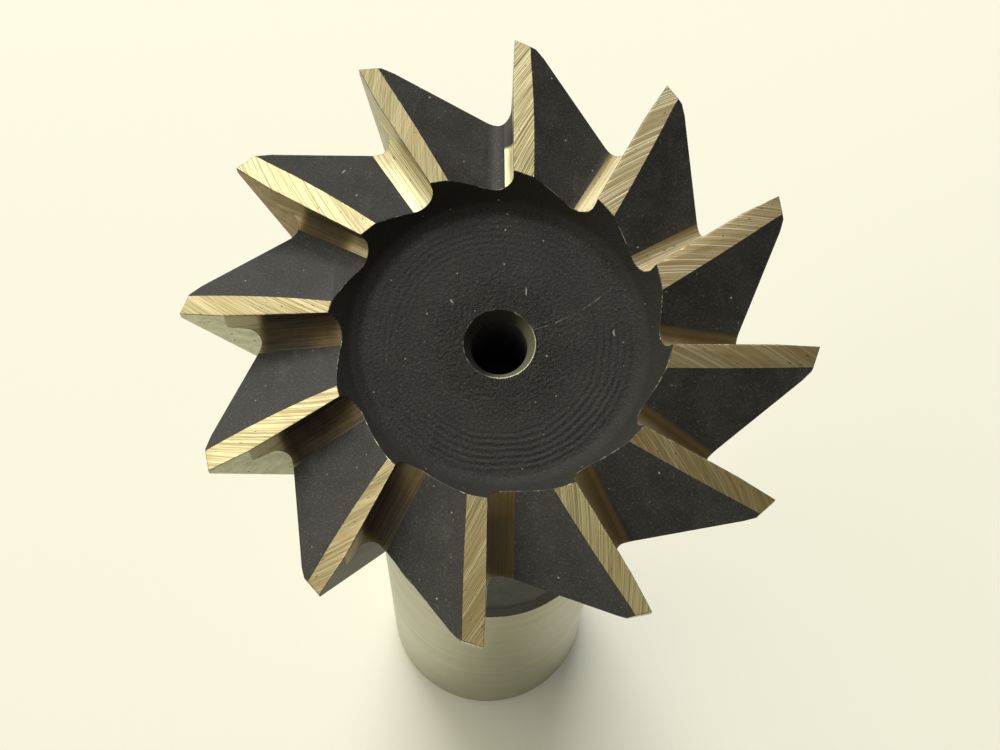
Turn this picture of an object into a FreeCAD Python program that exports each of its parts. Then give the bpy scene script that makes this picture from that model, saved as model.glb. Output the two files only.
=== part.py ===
# Dovetail cutter: a one-piece shank cutter whose toothed head is wider at its free end.
# Millimetres. It stands on the end of its shank: the origin is the middle of that end, +Z runs
# up the axis to the end teeth, and one tooth tip points along +Y. Seen from above, the cutting
# edges face anticlockwise, so the first tooth's gullet lies on its -X side.

import FreeCAD, Part
import math
import os
import Sketcher

# Driving dimensions, in millimetres and degrees
SIZES = {
    "overall_length": 76.0,
    "shank_diameter": 16.0,
    "shank_length": 37.0,
    "shank_chamfer": 0.8,
    "neck_diameter": 15.0,
    "head_diameter": 35.0,
    "head_width": 14.3,
    "head_back_chamfer": 1.2,
    "flank_angle": 60.0,
    "nose_height": 0.6,
    "tooth_count": 12,
    "recess_rim_diameter": 18.9,
    "recess_depth": 2.3,
    "recess_wall_angle": 30.0,
    "recess_corner_radius": 1.1,
    "centre_diameter": 3.15,
    "centre_depth": 8.0,
    "centre_mouth_angle": 60.0,
    "centre_tip_angle": 118.0,
    "head_centre_mouth": 4.0,
    "shank_centre_mouth": 5.0,
    "flank_land_width": 1.3,
    "flank_relief_angle": 16.0,
    "flank_back_angle": 43.0,
    "flank_gullet_radius": 0.65,
    "end_land_width": 1.08,
    "end_land_turn": 3.2,
    "end_relief_angle": 12.0,
    "end_back_angle": 27.0,
    "end_gullet_radius": 1.05,
    "end_rake_turn": 4.1,
    "end_rake_start_radius": 15.1,
    "cut_overrun": 2.0,
    "tip_overrun": 1.0,
}

doc = FreeCAD.newDocument("dovetail_cutter_source")
sheet = doc.addObject("Spreadsheet::Sheet", "sizes")
for row, (alias, value) in enumerate(SIZES.items(), start=1):
    sheet.set(f"A{row}", alias)
    sheet.set(f"B{row}", str(value))
    sheet.setAlias(f"B{row}", alias)
doc.recompute()

body = doc.addObject("PartDesign::Body", "cutter")
body.Label = "dovetail_cutter"

# Formulas on the sheet's values that several outlines share. The end plane holds the tooth tips.
TOP = "sizes.overall_length"
HEAD_RADIUS = "sizes.head_diameter / 2"
NECK_RADIUS = "sizes.neck_diameter / 2"
SHANK_RADIUS = "sizes.shank_diameter / 2"
HEAD_BACK = f"({TOP} - sizes.head_width)"
RECESS_FLOOR = f"({TOP} - sizes.recess_depth)"
FLOOR_RADIUS = "sizes.recess_rim_diameter / 2 - sizes.recess_depth * tan(sizes.recess_wall_angle)"
PITCH = "(360 / sizes.tooth_count)"


def origin_plane(role):
    return next(f for f in body.Origin.OriginFeatures if f.Role == role)


def new_sketch(name, plane_role, offset="0"):
    """An empty sketch parallel to one of the body's own planes, at an offset along its normal."""
    sketch = body.newObject("Sketcher::SketchObject", name)
    sketch.AttachmentSupport = [(origin_plane(plane_role), "")]
    sketch.MapMode = "FlatFace"
    sketch.setExpression("AttachmentOffset.Base.z", offset)
    doc.recompute()
    return sketch


def place(spot):
    """Where a spot, given as two formulas, lies at the sheet's present values."""
    across, along = (float(sheet.evalExpression(formula)) for formula in spot)
    return FreeCAD.Vector(across, along, 0)


def hold(sketch, geometry, end, spot):
    """Bind a point of the sketch to a spot that is given as two formulas."""
    at = place(spot)
    for kind, value, formula in (("DistanceX", at.x, spot[0]), ("DistanceY", at.y, spot[1])):
        number = sketch.addConstraint(Sketcher.Constraint(kind, -1, 1, geometry, end, value))
        sketch.setExpression(f"Constraints[{number}]", formula)


def add_line(sketch, start, end):
    return sketch.addGeometry(Part.LineSegment(start, end), False)


def closed_outline(sketch, spots):
    """Straight lines from spot to spot and back to the first."""
    corners = [place(spot) for spot in spots]
    lines = [add_line(sketch, a, b) for a, b in zip(corners, corners[1:] + corners[:1])]
    for line, following in zip(lines, lines[1:] + lines[:1]):
        sketch.addConstraint(Sketcher.Constraint("Coincident", line, 2, following, 1))
    for line, spot in zip(lines, spots):
        hold(sketch, line, 1, spot)


def gullet_outline(sketch, root, wall, radius):
    """A gullet's section: wall spots from the rake wall's top to the land's trailing edge, then
    the back face down to the root, where an arc joins it to the rake wall."""
    sharp = place(root)
    corners = [place(spot) for spot in wall]
    up_rake = (corners[0] - sharp).normalize()
    up_back = (corners[-1] - sharp).normalize()
    half_angle = up_rake.getAngle(up_back) / 2
    arc_radius = float(sheet.evalExpression(radius))
    reach = arc_radius / math.tan(half_angle)
    centre = sharp + (up_rake + up_back).normalize() * (arc_radius / math.sin(half_angle))
    rake_end = sharp + up_rake * reach
    back_end = sharp + up_back * reach

    chain = [rake_end] + corners + [back_end]
    lines = [add_line(sketch, a, b) for a, b in zip(chain, chain[1:])]
    for line, following in zip(lines, lines[1:]):
        sketch.addConstraint(Sketcher.Constraint("Coincident", line, 2, following, 1))
    for line, spot in zip(lines[1:], wall):
        hold(sketch, line, 1, spot)

    circle = Part.Circle(centre, FreeCAD.Vector(0, 0, 1), arc_radius)
    start_angle, end_angle = (
        math.atan2(p.y - centre.y, p.x - centre.x) for p in (back_end, rake_end)
    )
    arc = sketch.addGeometry(Part.ArcOfCircle(circle, start_angle, end_angle), False)
    root_point = sketch.addGeometry(Part.Point(sharp), True)
    hold(sketch, root_point, 1, root)
    sketch.addConstraint(Sketcher.Constraint("PointOnObject", root_point, 1, lines[0]))
    sketch.addConstraint(Sketcher.Constraint("PointOnObject", root_point, 1, lines[-1]))
    sketch.addConstraint(Sketcher.Constraint("Tangent", lines[-1], 2, arc, 1))
    sketch.addConstraint(Sketcher.Constraint("Tangent", arc, 2, lines[0], 1))
    number = sketch.addConstraint(Sketcher.Constraint("Radius", arc, arc_radius))
    sketch.setExpression(f"Constraints[{number}]", radius)


def metal():
    """The body's present volume."""
    return 0 if body.Shape.isNull() else body.Shape.Volume


def turned(name, feature_type, spots):
    """Revolve a half section, drawn as radius and height, a full turn about the axis."""
    sketch = new_sketch(f"{name}_section", "XZ_Plane")
    closed_outline(sketch, spots)
    before = metal()
    feature = body.newObject(feature_type, name)
    feature.Profile = sketch
    feature.ReferenceAxis = (sketch, ["V_Axis"])
    feature.Angle = 360
    doc.recompute()
    if abs(metal() - before) < 1:
        raise RuntimeError(f"{name} changes nothing")
    return feature


# Head blank: the wide end face with its dished recess, the narrow upright nose that keeps the
# tooth tips from crumbling, the dovetail flank and a chamfered back.
back_edge_radius = (
    f"{HEAD_RADIUS} - (sizes.head_width - sizes.nose_height) / tan(sizes.flank_angle)"
)
head = turned("head", "PartDesign::Revolution", [
    ("0", RECESS_FLOOR),
    (FLOOR_RADIUS, RECESS_FLOOR),
    ("sizes.recess_rim_diameter / 2", TOP),
    (HEAD_RADIUS, TOP),
    (HEAD_RADIUS, f"{TOP} - sizes.nose_height"),
    (back_edge_radius, HEAD_BACK),
    (f"{back_edge_radius} - sizes.head_back_chamfer", f"{HEAD_BACK} - sizes.head_back_chamfer"),
    ("0", f"{HEAD_BACK} - sizes.head_back_chamfer"),
])


def ring_edge(shape, ring_radius, height):
    """The name of the circular edge of this radius about the axis at this height."""
    for number, edge in enumerate(shape.Edges, start=1):
        if isinstance(edge.Curve, Part.Circle):
            misses = abs(edge.Curve.Radius - ring_radius) + abs(edge.Curve.Center.z - height)
            if misses < 0.001:
                return f"Edge{number}"
    raise RuntimeError(f"no ring of radius {ring_radius} at height {height}")


recess_corner = body.newObject("PartDesign::Fillet", "recess_corner")
floor_edge = place((FLOOR_RADIUS, RECESS_FLOOR))
recess_corner.Base = (head, [ring_edge(head.Shape, floor_edge.x, floor_edge.y)])
recess_corner.setExpression("Radius", "sizes.recess_corner_radius")
doc.recompute()


# Flank gullets. Each is bounded by the first tooth's rake wall, in the plane x = 0, and by the
# relief and back face of the next tooth, one pitch anticlockwise. Its section square to the axis
# keeps its angles all the way down and follows the flank inwards.
def flank_section(name, depth):
    """The section at a depth below the end plane, where the flank has its own radius there."""
    radius = f"({HEAD_RADIUS} - ({depth} - sizes.nose_height) / tan(sizes.flank_angle))"
    tip = (f"-{radius} * sin({PITCH})", f"{radius} * cos({PITCH})")
    relief_turn = f"({PITCH} - sizes.flank_relief_angle)"
    back_turn = f"({PITCH} - sizes.flank_back_angle)"
    outside = f"({HEAD_RADIUS} + 2 * sizes.cut_overrun)"
    heel_x = f"({tip[0]} + sizes.flank_land_width * cos({relief_turn}))"
    heel_y = f"({tip[1]} + sizes.flank_land_width * sin({relief_turn}))"
    past_tip = (
        f"{tip[0]} - sizes.tip_overrun * cos({relief_turn})",
        f"{tip[1]} - sizes.tip_overrun * sin({relief_turn})",
    )
    past_tip_outside = (f"-{outside} * sin({PITCH})", f"{outside} * cos({PITCH})")
    root = ("0", f"{heel_y} - {heel_x} * tan({back_turn})")
    wall = [("0", outside), past_tip_outside, past_tip, (heel_x, heel_y)]
    sketch = new_sketch(name, "XY_Plane", f"{TOP} - ({depth})")
    gullet_outline(sketch, root, wall, "sizes.flank_gullet_radius")
    return sketch


def check_cut(feature, before):
    """A cut that points away from the metal removes nothing and reports no error."""
    doc.recompute()
    if before - metal() < 1:
        raise RuntimeError(f"{feature.Name} removes nothing")


before_nose = metal()
nose_gullet = body.newObject("PartDesign::Pocket", "nose_gullet")
nose_gullet.Profile = flank_section("nose_gullet_section", "sizes.nose_height")
nose_gullet.Reversed = True
nose_gullet.setExpression("Length", "sizes.nose_height + sizes.cut_overrun")
check_cut(nose_gullet, before_nose)

before_flank = metal()
flank_top = flank_section("flank_gullet_top", "sizes.nose_height")
flank_low = flank_section("flank_gullet_low", "(sizes.head_width + sizes.cut_overrun)")
flank_gullet = body.newObject("PartDesign::SubtractiveLoft", "flank_gullet")
flank_gullet.Profile = flank_top
flank_gullet.Sections = [flank_low]
flank_gullet.Ruled = True
check_cut(flank_gullet, before_flank)


# End gullets. Their sections lie in planes y = constant, drawn as x and height. The lands of the
# end teeth lag the radial line by a small turn, and so does the upright rake wall inside the
# radius where it leaves the flank's rake wall.
def end_section(name, distance):
    turn = f"({PITCH} + sizes.end_land_turn)"
    tip_across = f"{HEAD_RADIUS} * sin({PITCH})"
    tip_along = f"{HEAD_RADIUS} * cos({PITCH})"
    edge = f"({tip_across} + ({distance} - {tip_along}) * tan({turn}))"
    heel = f"({edge} - sizes.end_land_width / cos({turn}))"
    heel_height = f"({TOP} - sizes.end_land_width * tan(sizes.end_relief_angle))"
    rake = f"(({distance} - sizes.end_rake_start_radius) * tan(sizes.end_rake_turn))"
    over_height = f"{TOP} + sizes.tip_overrun * cos({turn}) * tan(sizes.end_relief_angle)"
    above = f"{TOP} + sizes.cut_overrun"
    past_edge = f"-({edge} + sizes.tip_overrun)"
    root = (
        f"-{rake}",
        f"{heel_height} - ({heel} - {rake}) * cos({turn}) * tan(sizes.end_back_angle)",
    )
    wall = [
        (f"-{rake}", above),
        (past_edge, above),
        (past_edge, over_height),
        (f"-{heel}", heel_height),
    ]
    sketch = new_sketch(name, "XZ_Plane", f"-({distance})")
    gullet_outline(sketch, root, wall, "sizes.end_gullet_radius")
    return sketch


before_end = metal()
end_inner = end_section("end_gullet_inner", "(sizes.recess_rim_diameter / 2 - sizes.recess_depth)")
end_outer = end_section("end_gullet_outer", f"({HEAD_RADIUS} + sizes.cut_overrun)")
end_gullet = body.newObject("PartDesign::SubtractiveLoft", "end_gullet")
end_gullet.Profile = end_inner
end_gullet.Sections = [end_outer]
end_gullet.Ruled = True
check_cut(end_gullet, before_end)

before_teeth = metal()
teeth = body.newObject("PartDesign::PolarPattern", "teeth")
teeth.Originals = [nose_gullet, flank_gullet, end_gullet]
teeth.Axis = (nose_gullet.Profile[0], ["N_Axis"])
teeth.Angle = 360
teeth.setExpression("Occurrences", "sizes.tooth_count")
body.Tip = teeth
check_cut(teeth, before_teeth)

# Neck and ground shank. The neck runs up into the head, so the gullets end against it.
turned("shank", "PartDesign::Revolution", [
    ("0", "0"),
    (f"{SHANK_RADIUS} - sizes.shank_chamfer", "0"),
    (SHANK_RADIUS, "sizes.shank_chamfer"),
    (SHANK_RADIUS, "sizes.shank_length"),
    (NECK_RADIUS, f"sizes.shank_length + {SHANK_RADIUS} - {NECK_RADIUS}"),
    (NECK_RADIUS, HEAD_BACK),
    ("0", HEAD_BACK),
])


# Centre holes, one in the recess and one in the shank's end, on which the cutter was ground.
def centre_hole(name, mouth_diameter, face, inwards):
    """A conical mouth, a pilot bore and its drill point; inwards is + or - along the axis."""
    pilot = "sizes.centre_diameter / 2"
    mouth = f"{mouth_diameter} / 2"
    mouth_depth = f"({mouth} - {pilot}) / tan(sizes.centre_mouth_angle / 2)"
    point_depth = f"{pilot} / tan(sizes.centre_tip_angle / 2)"
    turned(name, "PartDesign::Groove", [
        ("0", face),
        (mouth, face),
        (pilot, f"{face} {inwards} {mouth_depth}"),
        (pilot, f"{face} {inwards} sizes.centre_depth"),
        ("0", f"{face} {inwards} (sizes.centre_depth + {point_depth})"),
    ])


centre_hole("head_centre", "sizes.head_centre_mouth", RECESS_FLOOR, "-")
centre_hole("shank_centre", "sizes.shank_centre_mouth", "0", "+")

doc.recompute()
for item in doc.Objects:
    if "Invalid" in item.State or "Error" in item.State:
        raise RuntimeError(f"{item.Name} failed: {item.State}")
if body.Shape.isNull() or not body.Shape.isValid() or len(body.Shape.Solids) != 1:
    raise RuntimeError("the cutter is not one valid solid")

os.makedirs("parts", exist_ok=True)
body.Shape.exportStep(f"parts/{body.Label}.step")
box = body.Shape.BoundBox
print(f"{body.Label}: volume {body.Shape.Volume:.1f} mm3, faces {len(body.Shape.Faces)}, "
      f"x {box.XMin:.3f} to {box.XMax:.3f}, y {box.YMin:.3f} to {box.YMax:.3f}, "
      f"z {box.ZMin:.3f} to {box.ZMax:.3f}")
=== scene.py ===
"""Looks of a dovetail cutter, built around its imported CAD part.

The dressed cutter is cut from a turned blank with one pair of gullet tools per tooth, as the CAD
part is, but each tooth has its own land width and edge line, and each surface its own finish.
Lengths are in millimetres until the mesh is finished, which scales it to metres.
"""
import math

import bmesh
import bpy
from mathutils import Matrix, Vector


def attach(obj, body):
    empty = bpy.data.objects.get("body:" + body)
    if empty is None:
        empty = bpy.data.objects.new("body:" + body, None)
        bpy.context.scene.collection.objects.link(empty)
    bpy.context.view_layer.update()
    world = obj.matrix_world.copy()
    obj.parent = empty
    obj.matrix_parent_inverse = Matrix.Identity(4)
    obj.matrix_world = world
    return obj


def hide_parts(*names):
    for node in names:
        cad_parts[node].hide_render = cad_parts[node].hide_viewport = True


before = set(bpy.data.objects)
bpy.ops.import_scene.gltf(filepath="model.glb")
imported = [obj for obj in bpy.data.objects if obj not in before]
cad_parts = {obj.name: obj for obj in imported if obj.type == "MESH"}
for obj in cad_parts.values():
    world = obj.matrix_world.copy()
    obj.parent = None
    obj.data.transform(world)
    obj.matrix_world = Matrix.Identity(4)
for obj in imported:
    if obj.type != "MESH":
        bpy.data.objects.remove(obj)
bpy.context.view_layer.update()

# The CAD part's sizes, in millimetres and degrees
TOP = 76.0
HEAD_RADIUS = 17.5
HEAD_WIDTH = 14.3
BACK_CHAMFER = 1.2
FLANK_ANGLE = 60.0
NOSE = 0.6
TEETH = 12
RIM_RADIUS = 9.45
RECESS_DEPTH = 2.3
RECESS_WALL_ANGLE = 30.0
RECESS_CORNER = 1.1
CENTRE_RADIUS = 1.575
CENTRE_DEPTH = 8.0
CENTRE_TIP_ANGLE = 118.0
HEAD_MOUTH_RADIUS = 2.0
SHANK_MOUTH_RADIUS = 2.5
CENTRE_MOUTH_ANGLE = 60.0
SHANK_RADIUS = 8.0
SHANK_LENGTH = 37.0
SHANK_CHAMFER = 0.8
NECK_RADIUS = 7.5
FLANK_LAND = 1.3
FLANK_RELIEF = 16.0
FLANK_BACK = 43.0
FLANK_ROOT_RADIUS = 0.65
END_RELIEF = 12.0
END_BACK = 27.0
END_ROOT_RADIUS = 1.05
RAKE_START = 15.1
PITCH = 360.0 / TEETH

# How the dressed cutter is made, in millimetres and degrees: how far the gullet tools reach past
# it, the steps of a rounded root and of a full turn, how much every end edge lags besides its own
# lag, the width of a broken edge, how close two points are one, and a ring of the recess floor
OVERRUN = 2.0
ROOT_STEPS = 10
TURN_STEPS = 360
SHARED_LAG = 0.045
BROKEN_EDGE = 0.03
SAME_POINT = 0.004
FLOOR_RING = 4.6

# The grinding marks: their angle to the tooth, where their bow is deepest, how steeply the end
# gullet's root falls outwards, and their depth. Then the pitch of the recess floor's rings.
GRIND_SLANT = math.radians(28)
MIDDLE_OF_LAND = 12.5
ROOT_FALL = 0.28
MARK_DEPTH = 0.003
RING_PITCH = 0.37

# Each hand-ground tooth, anticlockwise from the one at the back: how far its cutting edge lags the
# radial line at the recess rim, then its end land's width at the tip, halfway and at the rim, and
# the share of the gullet's rounded root that is ground bright.
GROUND = [
    (0.31, 0.88, 1.10, 1.08, 0.50),
    (0.48, 1.02, 1.04, 0.94, 1.00),
    (0.48, 1.22, 1.26, 0.98, 0.60),
    (0.49, 1.12, 1.02, 0.65, 1.00),
    (0.55, 1.12, 0.98, 0.56, 1.00),
    (0.54, 0.90, 0.82, 0.50, 1.00),
    (0.19, 1.14, 1.14, 1.05, 1.00),
    (0.26, 0.82, 1.06, 1.18, 1.00),
    (0.30, 1.04, 1.10, 1.08, 1.00),
    (0.28, 1.12, 1.22, 1.24, 1.00),
    (0.48, 0.96, 1.20, 1.34, 1.00),
    (0.37, 0.90, 1.12, 1.22, 0.80),
]

# How each tooth was left by the wheel and by the furnace, with the painted light and shade that
# some of it stands for, in the same order, from 0 to 1
FINISH = {
    # the end land: its tone, which partly stands in for a painted reflection, how strongly its
    # fine marks show, how far long pale scores cross it, and how coppery it is
    "tone": (0.33, 0.20, 0.46, 0.25, 0.44, 0.28, 0.25, 0.41, 0.20, 0.62, 0.95, 0.30),
    "marks": (0.50, 0.14, 0.28, 0.26, 0.32, 0.22, 0.22, 0.34, 0.16, 0.28, 1.10, 0.20),
    "scores": (0.1, 0.0, 0.0, 0.0, 0.1, 0.15, 0.3, 0.3, 0.15, 0.5, 1.0, 0.8),
    "warmth": (0.0, 0.0, 0.0, 0.1, 0.22, 0.3, 0.3, 0.1, 0.3, 0.9, 1.0, 0.25),
    # the gullet's root: how light its bright strip is, how many millimetres from the upright wall
    # and from the axis the black begins, how brown the strip and the wall over it are, a heat tint
    # that also stands in for painted shade, and how much of that brown is gone at its inner end
    "strip": (1.0, 0.45, 0.25, 0.4, 0.5, 0.5, 0.4, 0.6, 0.12, 0.18, 0.45, 0.12),
    "black": (3.0, 3.0, 3.0, 3.0, 3.0, 3.0, 1.45, 0.98, 0.95, 0.98, 1.25, 0.90),
    "black_end": (11.5, 99, 99, 99, 99, 99, 99, 99, 99, 99, 99, 99),
    "temper_and_shade": (0.0, 0.0, 0.86, 0.90, 1.0, 0.92, 0.76, 0.44, 0.42, 0.42, 0.07, 0.0),
    "foot": (0.0, 0.0, 0.95, 0.35, 0.25, 0.45, 0.5, 0.0, 0.5, 0.45, 0.0, 0.0),
    # the flank's rake wall: how brown it is, and how dark with painted shade
    "brown": (0.2, 0.25, 1.0, 0.10, 0.0, 0.1, 0.0, 0.0, 0.0, 0.0, 0.0, 0.2),
    "dark": (0.0, 0.16, 0.0, 0.0, 0.1, 0.9, 0.5, 0.0, 0.0, 0.0, 0.0, 0.0),
}

# Surface kinds, in the order of the dressed cutter's material slots
KINDS = [
    "oxide", "end_land", "root_strip", "end_rake", "flank_rake", "flank_land", "nose",
    "shank", "recess", "bore", "worn_edge", "shank_face", "matt_oxide", "hole_mouth", "shoulder",
]
KIND = {name: number for number, name in enumerate(KINDS)}


def tan(degrees):
    return math.tan(math.radians(degrees))


def cos(degrees):
    return math.cos(math.radians(degrees))


def sin(degrees):
    return math.sin(math.radians(degrees))


def new_object(name, verts, faces, kinds):
    """A mesh object whose faces carry the numbers of their surface kinds."""
    mesh = bpy.data.meshes.new(name)
    mesh.from_pydata([tuple(v) for v in verts], [], faces)
    for kind in KINDS:
        mesh.materials.append(bpy.data.materials.get(kind) or bpy.data.materials.new(kind))
    mesh.polygons.foreach_set("material_index", [KIND[kind] for kind in kinds])
    mesh.update()
    obj = bpy.data.objects.new(name, mesh)
    bpy.context.scene.collection.objects.link(obj)
    return obj


def revolve(name, profile, segments):
    """A closed turned solid. The profile runs from the axis to the axis, as (radius, height,
    kind of the surface that follows)."""
    verts, rings = [], []
    for radius, height, _ in profile:
        if radius < 1e-6:
            rings.append([len(verts)])
            verts.append((0, 0, height))
            continue
        rings.append(list(range(len(verts), len(verts) + segments)))
        for step in range(segments):
            angle = 2 * math.pi * (step + 0.5) / segments
            verts.append((radius * math.cos(angle), radius * math.sin(angle), height))
    faces, kinds = [], []
    for (lower, upper), (_, _, kind) in zip(zip(rings, rings[1:]), profile):
        for step in range(segments):
            following = (step + 1) % segments
            if len(lower) == 1:
                faces.append((lower[0], upper[following], upper[step]))
            elif len(upper) == 1:
                faces.append((lower[step], lower[following], upper[0]))
            else:
                faces.append((lower[step], lower[following], upper[following], upper[step]))
            kinds.append(kind)
    obj = new_object(name, verts, faces, kinds)
    bm = bmesh.new()
    bm.from_mesh(obj.data)
    bmesh.ops.recalc_face_normals(bm, faces=bm.faces)
    bm.to_mesh(obj.data)
    bm.free()
    return obj


def arc_points(start, corner, end, radius, steps):
    """Points of the arc of this radius that rounds a corner, from its start side to its end."""
    to_start = (start - corner).normalized()
    to_end = (end - corner).normalized()
    half = to_start.angle(to_end) / 2
    centre = corner + (to_start + to_end).normalized() * (radius / math.sin(half))
    first = corner + to_start * (radius / math.tan(half)) - centre
    last = corner + to_end * (radius / math.tan(half)) - centre
    sweep = first.angle(last)
    points = []
    for step in range(steps + 1):
        share = step / steps
        blend = (math.sin((1 - share) * sweep) * first + math.sin(share * sweep) * last)
        points.append(centre + blend / math.sin(sweep))
    return points


def loft(name, sections, kinds, turn):
    """A closed solid through outlines of equal length, turned about the axis. kinds has one entry
    for each side of the outline, and the ends are plain."""
    verts = [point for section in sections for point in section]
    count = len(sections[0])
    faces, face_kinds = [], []
    for row in range(len(sections) - 1):
        for side in range(count):
            following = (side + 1) % count
            low, high = row * count, (row + 1) * count
            faces.append((low + side, low + following, high + following, high + side))
            face_kinds.append(kinds[side])
    faces.append(tuple(reversed(range(count))))
    faces.append(tuple(range((len(sections) - 1) * count, len(sections) * count)))
    face_kinds += ["oxide", "oxide"]
    obj = new_object(name, verts, faces, face_kinds)
    bm = bmesh.new()
    bm.from_mesh(obj.data)
    bmesh.ops.recalc_face_normals(bm, faces=bm.faces)
    bm.to_mesh(obj.data)
    bm.free()
    obj.data.transform(Matrix.Rotation(math.radians(turn), 4, "Z"))
    return obj


def flank_tool(number):
    """What the cutter on the flank removes between this tooth's upright wall, in its own plane
    x = 0, and the back of the next tooth."""
    def section(depth, height):
        radius = HEAD_RADIUS - (depth - NOSE) / tan(FLANK_ANGLE)
        tip = Vector((-radius * sin(PITCH), radius * cos(PITCH)))
        relief = Vector((cos(PITCH - FLANK_RELIEF), sin(PITCH - FLANK_RELIEF)))
        heel = tip + FLANK_LAND * relief
        past_tip = tip - relief
        outside = HEAD_RADIUS + 2 * OVERRUN
        root = Vector((0, heel.y - heel.x * tan(PITCH - FLANK_BACK)))
        rake_top = Vector((0, outside))
        arc = arc_points(heel, root, rake_top, FLANK_ROOT_RADIUS, ROOT_STEPS)
        outline = [rake_top, Vector((-outside * sin(PITCH), outside * cos(PITCH))), past_tip, heel]
        return [(p.x, p.y, height) for p in outline + arc]

    sections = [
        section(NOSE, TOP + OVERRUN),
        section(NOSE, TOP - NOSE),
        section(HEAD_WIDTH + OVERRUN, TOP - HEAD_WIDTH - OVERRUN),
    ]
    light = ROOT_STEPS // 2
    kinds = ["oxide", "oxide", "flank_land", "oxide"] + ["oxide"] * (ROOT_STEPS - light)
    kinds += ["flank_rake"] * (light + 1)
    return loft(f"flank_tool_{number}", sections, kinds, number * PITCH)


def end_tool(number):
    """What the cutter on the end face removes between this tooth's upright wall and the relieved
    end of the next tooth."""
    rake_lag, bright_share = GROUND[number][0], GROUND[number][4]
    next_lag, tip_land, mid_land, rim_land, _ = GROUND[(number + 1) % TEETH]
    turn = PITCH + math.degrees(math.atan((next_lag + SHARED_LAG) / (HEAD_RADIUS - RIM_RADIUS)))
    rake_turn = rake_lag / (RAKE_START - RIM_RADIUS)

    def section(distance):
        edge = HEAD_RADIUS * sin(PITCH) + (distance - HEAD_RADIUS * cos(PITCH)) * tan(turn)
        along = (math.hypot(distance, edge) - RIM_RADIUS) / (HEAD_RADIUS - RIM_RADIUS)
        along = min(max(along, 0), 1)
        width = rim_land + along * (4 * mid_land - 3 * rim_land - tip_land)
        width += along * along * 2 * (rim_land + tip_land - 2 * mid_land)
        heel = Vector((-(edge - width / cos(turn)), TOP - width * tan(END_RELIEF)))
        rake = (distance - RAKE_START) * rake_turn
        root = Vector((-rake, heel.y - (-heel.x - rake) * cos(turn) * tan(END_BACK)))
        above = TOP + OVERRUN
        past_edge = -(edge + 1)
        over_height = TOP + cos(turn) * tan(END_RELIEF)
        rake_top = Vector((-rake, above))
        arc = arc_points(heel, root, rake_top, END_ROOT_RADIUS, ROOT_STEPS)
        outline = [rake_top, Vector((past_edge, above)), Vector((past_edge, over_height)), heel]
        return [(p.x, distance, p.y) for p in outline + arc]

    inner, outer, rows = RIM_RADIUS - RECESS_DEPTH, HEAD_RADIUS + OVERRUN, 8
    sections = [section(inner + (outer - inner) * row / rows) for row in range(rows + 1)]
    dark = ROOT_STEPS - round(ROOT_STEPS * bright_share)
    kinds = ["oxide", "oxide", "end_land", "oxide"]
    kinds += ["matt_oxide"] * dark + ["root_strip"] * (ROOT_STEPS - dark) + ["end_rake"]
    return loft(f"end_tool_{number}", sections, kinds, number * PITCH)


def join(objects):
    """One object from several, which are then gone."""
    joined = bmesh.new()
    for obj in objects:
        joined.from_mesh(obj.data)
    target = objects[0]
    joined.to_mesh(target.data)
    joined.free()
    for obj in objects[1:]:
        bpy.data.objects.remove(obj)
    return target


def combine(base, other, operation):
    """Cut the other object from the base, or add it, exactly."""
    modifier = base.modifiers.new("combine", "BOOLEAN")
    modifier.operation = operation
    modifier.solver = "EXACT"
    modifier.material_mode = "INDEX"
    modifier.object = other
    depsgraph = bpy.context.evaluated_depsgraph_get()
    made = bpy.data.meshes.new_from_object(base.evaluated_get(depsgraph), depsgraph=depsgraph)
    base.modifiers.clear()
    base.data = made
    bpy.data.objects.remove(other)


def recess_profile():
    """From the centre hole's drill point up its wall, over the recess floor and up the dished
    wall to the end face."""
    floor = TOP - RECESS_DEPTH
    mouth_depth = (HEAD_MOUTH_RADIUS - CENTRE_RADIUS) / tan(CENTRE_MOUTH_ANGLE / 2)
    foot = Vector((RIM_RADIUS - RECESS_DEPTH * tan(RECESS_WALL_ANGLE), floor))
    corner = arc_points(
        Vector((0, floor)), foot, Vector((RIM_RADIUS, TOP)), RECESS_CORNER, ROOT_STEPS
    )
    profile = [
        (0, floor - CENTRE_DEPTH - CENTRE_RADIUS / tan(CENTRE_TIP_ANGLE / 2), "bore"),
        (CENTRE_RADIUS, floor - CENTRE_DEPTH, "bore"),
        (CENTRE_RADIUS, floor - mouth_depth, "hole_mouth"),
        (HEAD_MOUTH_RADIUS, floor, "recess"),
        (FLOOR_RING, floor, "recess"),
    ]
    return profile + [(p.x, p.y, "recess") for p in corner]


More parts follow.
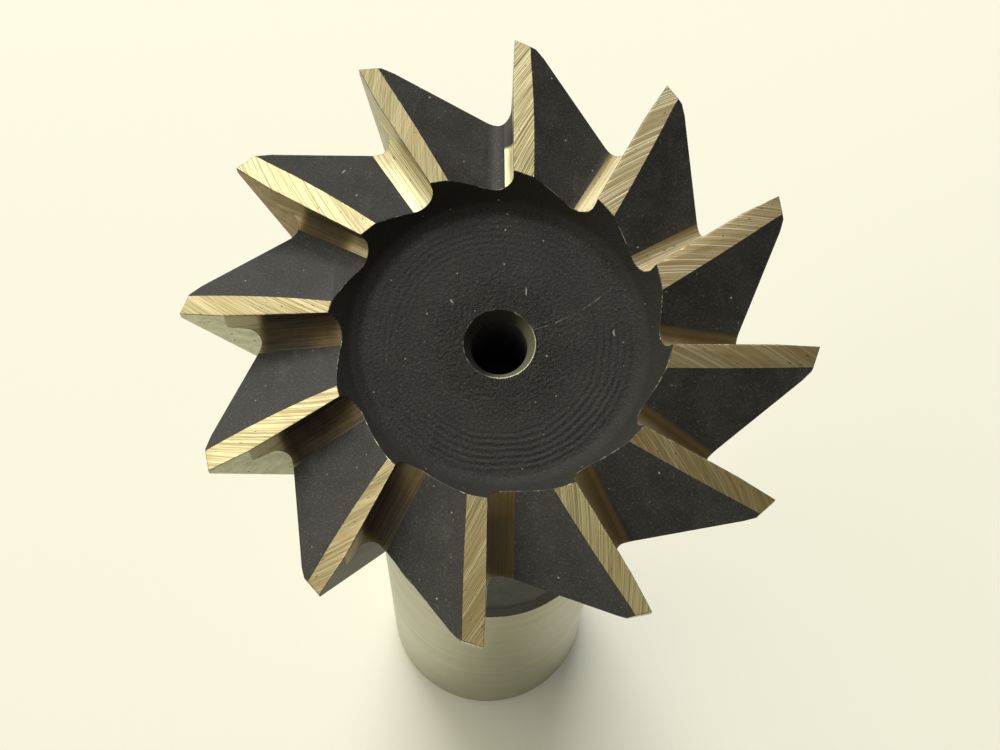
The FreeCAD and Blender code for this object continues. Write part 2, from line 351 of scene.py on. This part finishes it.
def build_cutter():
    back = TOP - HEAD_WIDTH
    back_radius = HEAD_RADIUS - (HEAD_WIDTH - NOSE) / tan(FLANK_ANGLE)
    blank = revolve("cutter", recess_profile() + [
        (RIM_RADIUS, TOP, "end_land"),
        (HEAD_RADIUS, TOP, "nose"),
        (HEAD_RADIUS, TOP - NOSE, "flank_land"),
        (back_radius, back, "oxide"),
        (back_radius - BACK_CHAMFER, back - BACK_CHAMFER, "oxide"),
        (0, back - BACK_CHAMFER, "oxide"),
    ], TURN_STEPS)
    for make in (flank_tool, end_tool):
        for first in (0, 1):
            combine(blank, join([make(n) for n in range(first, TEETH, 2)]), "DIFFERENCE")
    shank_mouth = (SHANK_MOUTH_RADIUS - CENTRE_RADIUS) / tan(CENTRE_MOUTH_ANGLE / 2)
    stem = revolve("stem", [
        (0, CENTRE_DEPTH + CENTRE_RADIUS / tan(CENTRE_TIP_ANGLE / 2), "bore"),
        (CENTRE_RADIUS, CENTRE_DEPTH, "bore"),
        (CENTRE_RADIUS, shank_mouth, "bore"),
        (SHANK_MOUTH_RADIUS, 0, "shank_face"),
        (SHANK_RADIUS - SHANK_CHAMFER, 0, "shank"),
        (SHANK_RADIUS, SHANK_CHAMFER, "shank"),
        (SHANK_RADIUS, SHANK_LENGTH, "shoulder"),
        (NECK_RADIUS, SHANK_LENGTH + SHANK_RADIUS - NECK_RADIUS, "matt_oxide"),
        (NECK_RADIUS, back, "oxide"),
        (0, back, "oxide"),
    ], TURN_STEPS)
    combine(blank, stem, "UNION")
    return blank


def tidy_mesh(bm):
    """Merge what the exact cuts left almost touching, and dissolve what lies in one plane."""
    bmesh.ops.remove_doubles(bm, verts=bm.verts, dist=SAME_POINT)
    bmesh.ops.dissolve_degenerate(bm, edges=bm.edges, dist=SAME_POINT)
    bmesh.ops.dissolve_limit(
        bm, angle_limit=math.radians(0.15), verts=bm.verts, edges=bm.edges,
        use_dissolve_boundaries=False, delimit={"MATERIAL"},
    )


def round_edges(bm, width):
    """Break every sharp convex and concave edge slightly, as handling and stoning do."""
    edges = [e for e in bm.edges if e.is_manifold and e.calc_face_angle() > math.radians(24)]
    bmesh.ops.bevel(
        bm, geom=edges, offset=width, offset_type="OFFSET", segments=2, profile=0.5,
        affect="EDGES", clamp_overlap=False, material=KIND["worn_edge"], loop_slide=False,
        harden_normals=False,
    )


def tooth_frame(co, number):
    """A point in the frame of one tooth, whose tip lies at +Y."""
    return Matrix.Rotation(-math.radians(number * PITCH), 3, "Z") @ co


# Where a surface kind's middle lies across its own tooth, by which a face finds its tooth
OWN_SIDE = {
    "end_land": 0.8, "root_strip": -0.4, "end_rake": 0.2, "flank_rake": 0.0, "flank_land": 0.6,
    "nose": 0.6, "oxide": 3.0,
}


def grain_of(kind, spot):
    """Where a point lies along and across the grinding marks of its surface."""
    if kind == "end_land":
        along = spot.x * math.sin(GRIND_SLANT) + spot.y * math.cos(GRIND_SLANT)
        return along, spot.x * math.cos(GRIND_SLANT) - spot.y * math.sin(GRIND_SLANT)
    if kind in ("root_strip", "end_rake"):
        return spot.y, -spot.x - spot.z - ROOT_FALL * spot.y
    if kind == "nose":
        return spot.x, spot.z
    return spot.y * 0.5 + spot.z * 0.87, spot.x + 0.3 * spot.y


def marks_direction(kind):
    """The way the grinding marks run, in the tooth's own frame."""
    if kind == "end_land":
        return Vector((math.sin(GRIND_SLANT), math.cos(GRIND_SLANT), 0))
    if kind == "nose":
        return Vector((1, 0, 0))
    if kind == "flank_land":
        return Vector((0, 0.5, 0.87))
    return Vector((0, 1, 0))


def mark_grain(bm):
    """Give each face corner its place in the grain and its tooth's number, and the direction
    square to the grinding marks, in which they spread the light."""
    layer = bm.loops.layers.float_vector.new("grain")
    spread_layer = bm.loops.layers.float_vector.new("spread")
    wall_layer = bm.loops.layers.float.new("from_wall")
    finish_layers = {name: bm.loops.layers.float.new(name) for name in FINISH}
    for face in bm.faces:
        kind = KINDS[face.material_index]
        side = OWN_SIDE.get(kind)
        if side is None:
            continue
        middle = face.calc_center_median()
        number = min(range(TEETH), key=lambda n: (
            tooth_frame(middle, n).y < 0, abs(tooth_frame(middle, n).x - side)))
        to_part = Matrix.Rotation(math.radians(number * PITCH), 3, "Z")
        spread = face.normal.cross(to_part @ marks_direction(kind)).normalized()
        for corner in face.loops:
            spot = tooth_frame(corner.vert.co, number)
            along, across = grain_of(kind, spot)
            corner[wall_layer] = -spot.x
            corner[layer] = Vector((along, across, number))
            corner[spread_layer] = spread
            for name, values in FINISH.items():
                corner[finish_layers[name]] = values[number]


cutter = build_cutter()
bm = bmesh.new()
bm.from_mesh(cutter.data)
tidy_mesh(bm)
round_edges(bm, BROKEN_EDGE)
mark_grain(bm)
bmesh.ops.scale(bm, vec=(0.001,) * 3, verts=bm.verts)
bm.to_mesh(cutter.data)
bm.free()
cutter.data.shade_smooth()
cutter.data.set_sharp_from_angle(angle=math.radians(14))

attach(cutter, "root")
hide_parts("dovetail_cutter")


class Look:
    """A short way to write one material's node tree."""

    def __init__(self, name):
        self.material = bpy.data.materials[name]
        self.material.use_nodes = True
        self.tree = self.material.node_tree
        self.shader = self.tree.nodes["Principled BSDF"]
        self.place = self.node("ShaderNodeTexCoord").outputs["Object"]
        # the object's place in millimetres
        self.mm = self.vector("SCALE", self.place, scale=1000.0)

    def node(self, kind, inputs=(), **settings):
        made = self.tree.nodes.new(kind)
        for key, value in settings.items():
            setattr(made, key, value)
        for key, value in dict(inputs).items():
            self.feed(made.inputs[key], value)
        return made

    def feed(self, socket, value):
        if isinstance(value, bpy.types.NodeSocket):
            self.tree.links.new(value, socket)
        else:
            socket.default_value = value

    def vector(self, operation, a, b=None, scale=None):
        made = self.node("ShaderNodeVectorMath", {0: a}, operation=operation)
        if b is not None:
            self.feed(made.inputs[1], b)
        if scale is not None:
            made.inputs["Scale"].default_value = scale
        return made.outputs["Value" if operation in ("LENGTH", "DISTANCE") else "Vector"]

    def math(self, operation, a, b=0.0, clamp=False):
        made = self.node("ShaderNodeMath", {0: a, 1: b}, operation=operation, use_clamp=clamp)
        return made.outputs[0]

    def ramp(self, value, low, high, to_low=0.0, to_high=1.0):
        made = self.node("ShaderNodeMapRange", {
            "Value": value, "From Min": low, "From Max": high, "To Min": to_low, "To Max": to_high,
        }, interpolation_type="SMOOTHSTEP")
        return made.outputs["Result"]

    def noise(self, where, scale=1.0, detail=2.0, roughness=0.5):
        made = self.node("ShaderNodeTexNoise", {
            "Vector": where, "Scale": scale, "Detail": detail, "Roughness": roughness,
        })
        return made.outputs["Fac"]

    def noise_colour(self, where, scale):
        made = self.node("ShaderNodeTexNoise", {"Vector": where, "Scale": scale, "Detail": 1.0})
        return made.outputs["Color"]

    def mix(self, share, a, b):
        made = self.node("ShaderNodeMix", data_type="RGBA")
        self.feed(made.inputs[0], share)
        self.feed(made.inputs[6], a if isinstance(a, bpy.types.NodeSocket) else (*a, 1))
        self.feed(made.inputs[7], b if isinstance(b, bpy.types.NodeSocket) else (*b, 1))
        return made.outputs[2]

    def tooth(self, name):
        """A number of FINISH, for the tooth that a surface belongs to."""
        return self.node("ShaderNodeAttribute", attribute_name=name).outputs["Fac"]

    def specks(self, scale, size, share, where=None):
        """Small dots of uneven size, a share of which are kept."""
        made = self.node("ShaderNodeTexVoronoi", {"Vector": where or self.mm, "Scale": scale})
        chosen = self.node("ShaderNodeSeparateColor", {0: made.outputs["Color"]})
        kept = self.math("LESS_THAN", chosen.outputs[0], share)
        reach = self.math("MULTIPLY", chosen.outputs[1], size)
        near = self.ramp(self.math("SUBTRACT", made.outputs["Distance"], reach), 0.0, 0.06, 1, 0)
        return self.math("MULTIPLY", near, kept)

    def lint(self, share):
        """A few short bent hairs."""
        bent = self.vector("MULTIPLY", self.noise_colour(self.mm, 0.7), (1.6, 1.6, 0.0))
        drawn = self.vector("MULTIPLY", self.vector("ADD", self.mm, bent), (1.9, 0.45, 1.0))
        return self.specks(1.0, 0.10, share, drawn)

    def streaks(self, where, along, across, bend=0.0, detail=3.0, slant=0.0):
        """Marks that run along the grain or a little across it: a noise drawn out along them,
        slightly bowed."""
        split = self.node("ShaderNodeSeparateXYZ", {0: where})
        s, t, tooth = (split.outputs[i] for i in range(3))
        if bend:
            out = self.math("SUBTRACT", s, MIDDLE_OF_LAND)
            t = self.math("SUBTRACT", t, self.math(
                "MULTIPLY", self.math("MULTIPLY", out, out), bend))
        if slant:
            t = self.math("SUBTRACT", t, self.math("MULTIPLY", s, slant))
        drawn = self.node("ShaderNodeCombineXYZ", {
            0: self.math("MULTIPLY", s, along), 1: self.math("MULTIPLY", t, across),
            2: self.math("MULTIPLY", tooth, 7.3),
        })
        return self.noise(drawn.outputs[0], 1.0, detail, 0.55)

    def grain(self):
        return self.node("ShaderNodeAttribute", attribute_name="grain").outputs["Vector"]

    def bump(self, height, depth, strength=1.0, under=None):
        """Relief whose full height is a depth in millimetres."""
        inputs = {"Height": height, "Distance": depth * 0.001, "Strength": strength}
        if under is not None:
            inputs["Normal"] = under
        return self.node("ShaderNodeBump", inputs).outputs["Normal"]

    def finish(self, colour, metallic, roughness, normal=None):
        self.feed(self.shader.inputs["Base Color"], colour)
        self.feed(self.shader.inputs["Metallic"], metallic)
        self.feed(self.shader.inputs["Roughness"], roughness)
        if normal is not None:
            self.feed(self.shader.inputs["Normal"], normal)


def heat_tint_and_painted_shade(look, name, grain, marks, colour, rough):
    """What the furnace did to the end gullet's bright root and to the wall over it, with painted
    shade:
    the brown also darkens the gullets that lie in shade. The colour, metallic share and roughness."""
    out = look.node("ShaderNodeSeparateXYZ", {0: grain}).outputs[0]
    metallic = 1.0
    if name == "end_rake":
        # the wall's outer part is plainer
        outer = look.ramp(out, 12.8, 13.5)
        plain = look.mix(look.tooth("brown"), (0.66, 0.60, 0.40), (0.27, 0.19, 0.065))
        colour = look.mix(look.math("MULTIPLY", outer, 0.9), colour, plain)
        metallic = look.math("SUBTRACT", 1.0, look.math("MULTIPLY", outer, 0.5))
    uneven = look.ramp(look.noise(look.mm, 0.9, 2.0), 0.3, 0.6, 0.88, 1.0)
    # painted shade: the heat tint's brown is strongest on the teeth whose gullets lie in shade
    browned_and_shaded = look.math("MULTIPLY", look.tooth("temper_and_shade"), uneven)
    browned_and_shaded = look.math("MULTIPLY", browned_and_shaded, look.ramp(out, 12.7, 13.4, 1.0, 0.06))
    burnt_painted_shade_and_light = look.mix(marks, (0.032, 0.0245, 0.023), (0.057, 0.042, 0.038))
    if name == "root_strip":
        # the brown thins out towards the root's far side and its inner end, and it is painted
        # paler beside the wall, as painted light that offsets the wall's shade
        from_wall = look.tooth("from_wall")
        far = look.ramp(from_wall, 0.9, 1.9)
        thin = look.math("MULTIPLY", far, look.ramp(out, 9.9, 11.0, 0.75, 0.12))
        foot = look.math("MULTIPLY", look.tooth("foot"), look.ramp(out, 9.7, 10.7, 1.0, 0.0))
        browned_and_shaded = look.math("MULTIPLY", look.math("MULTIPLY", browned_and_shaded, look.math(
            "SUBTRACT", 1.0, thin)), look.math("SUBTRACT", 1.0, foot))
        # painted light: paler beside the wall, where the wall shades the root
        burnt_painted_shade_and_light = look.mix(look.ramp(from_wall, 0.1, 1.0, 0.7, 0.0), burnt_painted_shade_and_light,
                         look.mix(marks, (0.085, 0.056, 0.044), (0.145, 0.094, 0.072)))
    golden = look.math("MULTIPLY", browned_and_shaded, look.math("SUBTRACT", 1.0, browned_and_shaded))
    colour = look.mix(look.math("MULTIPLY", golden, 3.0), colour, (0.36, 0.25, 0.10))
    colour = look.mix(browned_and_shaded, colour, burnt_painted_shade_and_light)
    rough = look.math("ADD", rough, look.math("MULTIPLY", browned_and_shaded, 0.2))
    metallic = look.math("SUBTRACT", metallic, look.math(
        "MULTIPLY", look.math("POWER", browned_and_shaded, 4.0), 0.7), clamp=True)
    if name == "root_strip":
        # bright steel turns brown before the black begins
        past = look.math("SUBTRACT", from_wall, look.tooth("black"))
        colour = look.mix(look.ramp(past, -0.8, 0.05, 0.0, 0.85), colour, (0.20, 0.125, 0.042))
        black = look.math("MAXIMUM", look.ramp(past, -0.3, 0.3), look.ramp(
            look.math("SUBTRACT", out, look.tooth("black_end")), -0.15, 0.15))
        colour = look.mix(black, colour, (0.024, 0.022, 0.021))
        metallic = look.math("MULTIPLY", metallic, look.math("SUBTRACT", 1.0, black))
    return colour, metallic, rough


def ground_steel(name, dark, light, stain, roughness, pitch, bend=0.0):
    """Bright steel with the fine marks of the grinding wheel, stained and pitted in places. The
    marks are about a pitch apart, in millimetres."""
    look = Look(name)
    grain = look.grain()
    fine = look.streaks(grain, 0.16, 2.6 / pitch, bend, 1.0)
    broad = look.streaks(grain, 0.10, 0.7 / pitch, bend, 1.0)
    marks = look.ramp(look.math("ADD", look.math("MULTIPLY", fine, 0.82),
                                look.math("MULTIPLY", broad, 0.18)), 0.43, 0.57)
    on_land = name == "end_land"
    # the end land's tone partly paints how much of the lamp each land reflects: a painted
    # reflection
    tone = look.tooth("tone") if on_land else look.tooth("strip") if name == "root_strip" else 0.5
    strength = look.tooth("marks") if on_land else 0.75
    shown = look.math("ADD", look.math("MULTIPLY", look.math(
        "SUBTRACT", marks, 0.5), strength), tone, clamp=True)
    colour = look.mix(shown, dark, light)
    cloud = look.noise(look.mm, 0.8, 3.0, 0.6) if on_land else look.streaks(grain, 0.35, 1.1)
    patch = look.ramp(cloud, 0.5, 0.72, 0, 0.5)
    colour = look.mix(patch, colour, stain)
    if on_land:
        score = look.ramp(look.streaks(grain, 0.05, 2.8 / pitch, bend, 0.0), 0.62, 0.68)
        colour = look.mix(look.math("MULTIPLY", look.tooth("warmth"), 0.55), colour,
                          (0.56, 0.37, 0.16))
        colour = look.mix(look.math("MULTIPLY", score, look.tooth("scores")), colour,
                          (0.95, 0.90, 0.68))
        crossed = look.ramp(look.streaks(grain, 0.12, 1.9 / pitch, 0, 0, 0.28), 0.62, 0.70)
        colour = look.mix(look.math("MULTIPLY", crossed, 0.10), colour, (0.86, 0.80, 0.56))
    grit = look.specks(2.4, 0.11, 0.25)
    pits = look.specks(1.0, 0.15 if on_land else 0.24, 0.25 if on_land else 0.45,
                       look.vector("MULTIPLY", grain, (1.6, 5.0, 3.0)))
    spots = look.math("MULTIPLY", look.math("MAXIMUM", grit, pits), 0.7)
    colour = look.mix(spots, colour, (0.06, 0.04, 0.025))
    metallic, rough = 1.0, look.ramp(shown, 0, 1, roughness + 0.06, roughness - 0.06)
    if name in ("root_strip", "end_rake"):
        colour, metallic, rough = heat_tint_and_painted_shade(look, name, grain, marks, colour, rough)
    look.finish(colour, metallic, rough, look.bump(marks, MARK_DEPTH))
    look.shader.inputs["Anisotropic"].default_value = 0.8
    look.feed(look.shader.inputs["Tangent"], look.node(
        "ShaderNodeAttribute", attribute_name="spread").outputs["Vector"])


def black_oxide(name, base, pale, rough, sheen=0.35, dusty=1.0):
    """Blackened steel: grainy, a little mottled, with dust and lint on it."""
    look = Look(name)
    cloud = look.noise(look.mm, 0.55, 4.0, 0.6)
    fine = look.noise(look.mm, 9.0, 3.0, 0.6)
    dust = look.math("MAXIMUM", look.specks(1.9, 0.09, 0.22), look.lint(0.15))
    faint = look.math("MULTIPLY", look.specks(3.4, 0.15, 0.35), look.ramp(cloud, 0.48, 0.62))
    dust = look.math("MAXIMUM", dust, look.math("MULTIPLY", faint, 0.35))
    colour = look.mix(look.ramp(cloud, 0.3, 0.75), base, pale)
    scuff = look.noise(look.vector("MULTIPLY", look.mm, (0.7, 0.25, 0.4)), 1.0, 5.0, 0.7)
    colour = look.mix(look.ramp(scuff, 0.56, 0.72, 0, 0.4 * dusty), colour, (0.07, 0.069, 0.064))
    colour = look.mix(look.ramp(fine, 0.30, 0.5, 0.5, 0), colour, (0.006, 0.005, 0.006))
    colour = look.mix(look.ramp(fine, 0.54, 0.76, 0, 0.5), colour, (0.13, 0.13, 0.115))
    colour = look.mix(look.math("MULTIPLY", dust, dusty), colour, (0.34, 0.33, 0.27))
    look.finish(colour, 0.0, look.ramp(cloud, 0.3, 0.7, rough - 0.04, rough + 0.06),
                look.bump(fine, 0.016))
    look.shader.inputs["Specular IOR Level"].default_value = sheen


def rake_wall():
    """The flank's rake walls: matt grey steel, speckled, stained brown on some teeth, with painted
    shade on others.
    """
    look = Look("flank_rake")
    cloud = look.noise(look.mm, 1.4, 4.0, 0.65)
    fine = look.noise(look.mm, 14.0, 2.0, 0.6)
    spots = look.specks(2.6, 0.17, 0.35)
    colour = look.mix(look.ramp(cloud, 0.32, 0.68), (0.60, 0.60, 0.43), (0.82, 0.82, 0.61))
    colour = look.mix(look.ramp(fine, 0.58, 0.75, 0, 0.6), colour, (0.28, 0.27, 0.18))
    rust = look.mix(look.ramp(cloud, 0.35, 0.65), (0.19, 0.125, 0.04), (0.33, 0.235, 0.08))
    colour = look.mix(look.tooth("brown"), colour, rust)
    # painted shade: the rake walls of teeth in shade are painted dark
    colour = look.mix(look.tooth("dark"), colour, (0.06, 0.055, 0.042))
    colour = look.mix(look.math("MULTIPLY", spots, 0.85), colour, (0.06, 0.055, 0.045))
    look.finish(colour, 0.55, 0.5, look.bump(fine, 0.012))


def recess_floor():
    """The blackened recess: turning rings, a torn surface round the centre hole, one thin
    scratch and dust."""
    look = Look("recess")
    split = look.node("ShaderNodeSeparateXYZ", {0: look.mm})
    flat = look.node("ShaderNodeCombineXYZ", {0: split.outputs[0], 1: split.outputs[1]}).outputs[0]
    radius = look.vector("LENGTH", flat)
    cloud = look.noise(look.mm, 0.5, 4.0, 0.6)
    wander = look.math("MULTIPLY", look.noise(flat, 0.3, 2.0), 0.5)
    turns = look.math("DIVIDE", look.math("ADD", radius, wander), RING_PITCH / (2 * math.pi))
    rings = look.math("MULTIPLY", look.math("SINE", turns), look.ramp(radius, 4.6, 5.8))
    rings = look.math("MULTIPLY", rings, look.ramp(split.outputs[1], -5.0, 3.0, 1.0, 0.45))
    rings = look.math("MULTIPLY", rings, look.ramp(radius, 7.0, 7.8, 1.0, 0.0))
    tear = look.noise(flat, 5.0, 3.0, 0.62)
    torn = look.ramp(radius, 2.6, 5.0, 1, 0.3)
    fine = look.noise(look.mm, 9.0, 3.0, 0.6)
    wall = look.ramp(radius, 7.7, 8.3)
    dust = look.math("MAXIMUM", look.specks(1.9, 0.09, 0.26), look.lint(0.08))
    colour = look.mix(look.ramp(cloud, 0.35, 0.7), (0.0065, 0.0061, 0.0052),
                      (0.013, 0.0122, 0.0105))
    holes = look.math("MULTIPLY", look.ramp(tear, 0.34, 0.5, 0.7, 0), torn)
    colour = look.mix(holes, colour, (0.003, 0.003, 0.003))
    colour = look.mix(look.ramp(fine, 0.52, 0.74, 0, 0.4), colour, (0.10, 0.096, 0.08))
    crumbs = look.math("MULTIPLY", look.specks(5.5, 0.16, 0.35),
                       look.ramp(radius, 3.4, 6.0, 1, 0.15))
    colour = look.mix(look.math("MULTIPLY", crumbs, 0.5), colour, (0.20, 0.19, 0.165))
    colour = look.mix(look.math("MULTIPLY", wall, 0.5), colour, (0.045, 0.044, 0.042))
    colour = look.mix(dust, colour, (0.25, 0.24, 0.20))
    scratch = look.math("MULTIPLY", scratch_mask(look, flat), 0.4)
    colour = look.mix(scratch, colour, (0.30, 0.29, 0.25))
    normal = look.bump(rings, 0.0075)
    normal = look.bump(look.math("MULTIPLY", tear, torn), 0.11, under=normal)
    normal = look.bump(fine, 0.018, under=normal)
    look.finish(colour, 0.0, look.ramp(wall, 0, 1, 0.54, 0.62), normal)
    look.shader.inputs["Specular IOR Level"].default_value = 0.24


def scratch_mask(look, flat):
    """A thin bowed scratch from the centre hole's mouth outwards, broken along its length."""
    centre, bend_radius = (-1.15, 10.35, 0.0), 9.89
    away = look.math("SUBTRACT", look.vector("DISTANCE", flat, centre), bend_radius)
    line = look.ramp(look.math("ABSOLUTE", away), 0.01, 0.055, 1, 0)
    from_middle = look.vector("DISTANCE", flat, (4.15, 2.05, 0.0))
    length = look.ramp(from_middle, 2.3, 2.9, 1, 0)
    breaks = look.ramp(look.noise(flat, 2.6, 3.0), 0.38, 0.62)
    return look.math("MULTIPLY", look.math("MULTIPLY", line, length), breaks)


def towards(look, x, y):
    """How far a point lies round the axis towards a direction, from -1 to 1."""
    flat = look.vector("MULTIPLY", look.mm, (1.0, 1.0, 0.0))
    round_axis = look.vector("NORMALIZE", flat)
    made = look.node("ShaderNodeVectorMath", {0: round_axis, 1: (x, y, 0.0)},
                     operation="DOT_PRODUCT")
    return made.outputs["Value"], look.vector("LENGTH", flat)


def hole_mouth():
    """The cone of the head's centre hole, with painted light: lighter on the side the lamp lights.
    """
    look = Look("hole_mouth")
    side, _ = towards(look, 0.91, -0.42)
    fine = look.noise(look.mm, 7.0, 3.0, 0.6)
    # painted light: the cone is painted lighter towards its lit side and dark on the far side
    lit_side_painted_light = look.ramp(look.math("ADD", side, look.math("MULTIPLY", fine, 0.4)), 0.1, 0.9)
    colour = look.mix(lit_side_painted_light, (0.020, 0.019, 0.018), (0.14, 0.135, 0.09))
    look.finish(colour, 0.0, 0.5, look.bump(fine, 0.012))


def worn_edges():
    """Edges where handling has taken the black off here and there, and a painted highlight on the
    centre hole's mouth, on its lit side.
    """
    look = Look("worn_edge")
    wear_and_painted_highlight = look.ramp(look.noise(look.mm, 1.3, 4.0, 0.7), 0.52, 0.66)
    # painted highlight: the mouth's edge on the lit side is painted bare, bright steel
    side, radius = towards(look, 0.80, -0.60)
    painted_highlight_mouth = look.math("MULTIPLY", look.ramp(side, 0.2, 0.6), look.ramp(radius, 2.6, 3.0, 0.85, 0))
    wear_and_painted_highlight = look.math("MAXIMUM", wear_and_painted_highlight, painted_highlight_mouth)
    colour = look.mix(wear_and_painted_highlight, (0.025, 0.023, 0.021), (0.46, 0.42, 0.30))
    look.finish(colour, wear_and_painted_highlight, 0.42, look.bump(look.noise(look.mm, 10.0, 2.0), 0.006))


def turned_shank(name):
    """The cylindrically ground shank: fine marks round it, a few handling marks."""
    look = Look(name)
    hoops = look.noise(look.vector("MULTIPLY", look.mm, (0.12, 0.12, 9.0)), 1.0, 3.0, 0.6)
    wide = look.noise(look.vector("MULTIPLY", look.mm, (0.08, 0.08, 0.9)), 1.0, 3.0, 0.5)
    cloud = look.noise(look.mm, 0.35, 3.0, 0.6)
    nicks = look.specks(1.1, 0.09, 0.10)
    colour = look.mix(look.ramp(hoops, 0.35, 0.65), (0.355, 0.344, 0.237), (0.385, 0.372, 0.258))
    colour = look.mix(look.ramp(cloud, 0.5, 0.75, 0, 0.25), colour, (0.28, 0.25, 0.17))
    colour = look.mix(look.math("MULTIPLY", nicks, 0.6), colour, (0.16, 0.13, 0.09))
    rough = look.ramp(wide, 0.3, 0.7, 0.30, 0.38)
    look.finish(colour, 1.0, rough, look.bump(hoops, 0.002))


ground_steel("end_land", (0.15, 0.126, 0.06), (0.80, 0.73, 0.43), (0.36, 0.28, 0.14), 0.52, 0.15,
             0.015)
ground_steel("root_strip", (0.42, 0.37, 0.23), (0.84, 0.78, 0.52), (0.36, 0.25, 0.12), 0.55, 0.13)
ground_steel("end_rake", (0.30, 0.24, 0.14), (0.60, 0.52, 0.32), (0.26, 0.17, 0.09), 0.50, 0.13)
ground_steel("flank_land", (0.30, 0.25, 0.15), (0.66, 0.58, 0.38), (0.34, 0.25, 0.14), 0.45, 0.15)
ground_steel("nose", (0.50, 0.46, 0.30), (0.80, 0.76, 0.58), (0.5, 0.4, 0.2), 0.42, 0.12)
black_oxide("oxide", (0.020, 0.0192, 0.019), (0.033, 0.032, 0.030), 0.5)
black_oxide("matt_oxide", (0.022, 0.0210, 0.021), (0.033, 0.032, 0.030), 0.56, 0.32)
# painted light: the shoulder under the head is painted lighter than the oxide, to offset the shade
# it lies in
black_oxide("shoulder", (0.085, 0.083, 0.076), (0.105, 0.10, 0.092), 0.6, 0.5, 0.0)
hole_mouth()
# painted light: the bore is painted lighter than the oxide, for the light the deep hole doesn't
# get
black_oxide("bore", (0.05, 0.045, 0.05), (0.07, 0.065, 0.07), 0.6, 0.2, 0.0)
rake_wall()
recess_floor()
worn_edges()
turned_shank("shank")
turned_shank("shank_face")

# Camera, from the photograph's perspective
camera_data = bpy.data.cameras.new("camera")
camera_data.sensor_width = 36.0
camera_data.lens = 79.2
camera_data.clip_start = 0.01
camera = bpy.data.objects.new("camera", camera_data)
bpy.context.scene.collection.objects.link(camera)
turn = Matrix.Rotation(0.0151, 3, "Y") @ Matrix.Rotation(-0.3090, 3, "X")
turn = turn @ Matrix.Rotation(math.radians(-3.054), 3, "Z")
place = Matrix.Translation((0.000264, -0.038866, 0.189584))
camera.matrix_world = place @ turn.transposed().to_4x4()
bpy.context.scene.camera = camera

# A plain cream floor. The camera and gloss see it paler than it is lit, and it keeps the shadow.
bpy.ops.mesh.primitive_plane_add(size=4.0, location=(0, 0, -0.00002))
floor = bpy.context.object
floor.name = "floor"
floor_material = bpy.data.materials.new("floor")
floor_material.use_nodes = True
tree = floor_material.node_tree
for node in list(tree.nodes):
    tree.nodes.remove(node)
output = tree.nodes.new("ShaderNodeOutputMaterial")
paper = tree.nodes.new("ShaderNodeBsdfDiffuse")
paper.inputs["Color"].default_value = (0.95, 0.945, 0.85, 1)
glow = tree.nodes.new("ShaderNodeEmission")
glow.inputs["Color"].default_value = (0.99, 0.975, 0.89, 1)
path = tree.nodes.new("ShaderNodeLightPath")
seen = tree.nodes.new("ShaderNodeMath")
seen.operation = "MAXIMUM"
share = tree.nodes.new("ShaderNodeMath")
share.operation = "MULTIPLY"
share.inputs[1].default_value = 0.10
blend = tree.nodes.new("ShaderNodeMixShader")
tree.links.new(path.outputs["Is Camera Ray"], seen.inputs[0])
tree.links.new(path.outputs["Is Glossy Ray"], seen.inputs[1])
tree.links.new(seen.outputs[0], share.inputs[0])
tree.links.new(share.outputs[0], blend.inputs[0])
tree.links.new(paper.outputs[0], blend.inputs[1])
tree.links.new(glow.outputs[0], blend.inputs[2])
tree.links.new(blend.outputs[0], output.inputs["Surface"])
floor.data.materials.append(floor_material)

# A plain room, brighter towards the back and left, paler for the camera, and one large soft lamp
BRIGHT_SIDE = (
    cos(15) * cos(160), cos(15) * sin(160), sin(15),
)
world = bpy.data.worlds.new("studio")
bpy.context.scene.world = world
world.use_nodes = True
tree = world.node_tree
room = tree.nodes["Background"]
room.inputs["Color"].default_value = (1.0, 0.955, 0.70, 1)
direction = tree.nodes.new("ShaderNodeTexCoord")
brightness = tree.nodes.new("ShaderNodeVectorMath")
brightness.operation = "DOT_PRODUCT"
brightness.inputs[1].default_value = BRIGHT_SIDE
level = tree.nodes.new("ShaderNodeMapRange")
level.interpolation_type = "SMOOTHSTEP"
level.inputs["From Min"].default_value = 0.25
level.inputs["From Max"].default_value = 0.75
level.inputs["To Min"].default_value = 0.12
level.inputs["To Max"].default_value = 1.1
tree.links.new(direction.outputs["Generated"], brightness.inputs[0])
tree.links.new(brightness.outputs["Value"], level.inputs["Value"])
tree.links.new(level.outputs["Result"], room.inputs["Strength"])
backdrop = tree.nodes.new("ShaderNodeBackground")
backdrop.inputs["Color"].default_value = (0.985, 0.965, 0.87, 1)
backdrop.inputs["Strength"].default_value = 1.0
path = tree.nodes.new("ShaderNodeLightPath")
blend = tree.nodes.new("ShaderNodeMixShader")
tree.links.new(path.outputs["Is Camera Ray"], blend.inputs[0])
tree.links.new(room.outputs[0], blend.inputs[1])
tree.links.new(backdrop.outputs[0], blend.inputs[2])
tree.links.new(blend.outputs[0], tree.nodes["World Output"].inputs["Surface"])


def window(name, azimuth, elevation, distance, size, energy):
    """A square soft lamp that looks at the cutter's head. Azimuth is anticlockwise from +X."""
    data = bpy.data.lights.new(name, "AREA")
    data.energy = energy
    data.size = size
    data.color = (1, 0.985, 0.955)
    lamp = bpy.data.objects.new(name, data)
    bpy.context.scene.collection.objects.link(lamp)
    away = Vector((
        cos(elevation) * cos(azimuth), cos(elevation) * sin(azimuth), sin(elevation)))
    lamp.location = Vector((0, 0, 0.07)) + away * distance
    lamp.rotation_mode = "QUATERNION"
    lamp.rotation_quaternion = away.to_track_quat("Z", "Y")
    return lamp


window("window", 103, 47, 0.9, 0.62, 7.6)

bpy.context.scene.view_settings.view_transform = "Standard"

bpy.context.view_layer.update()
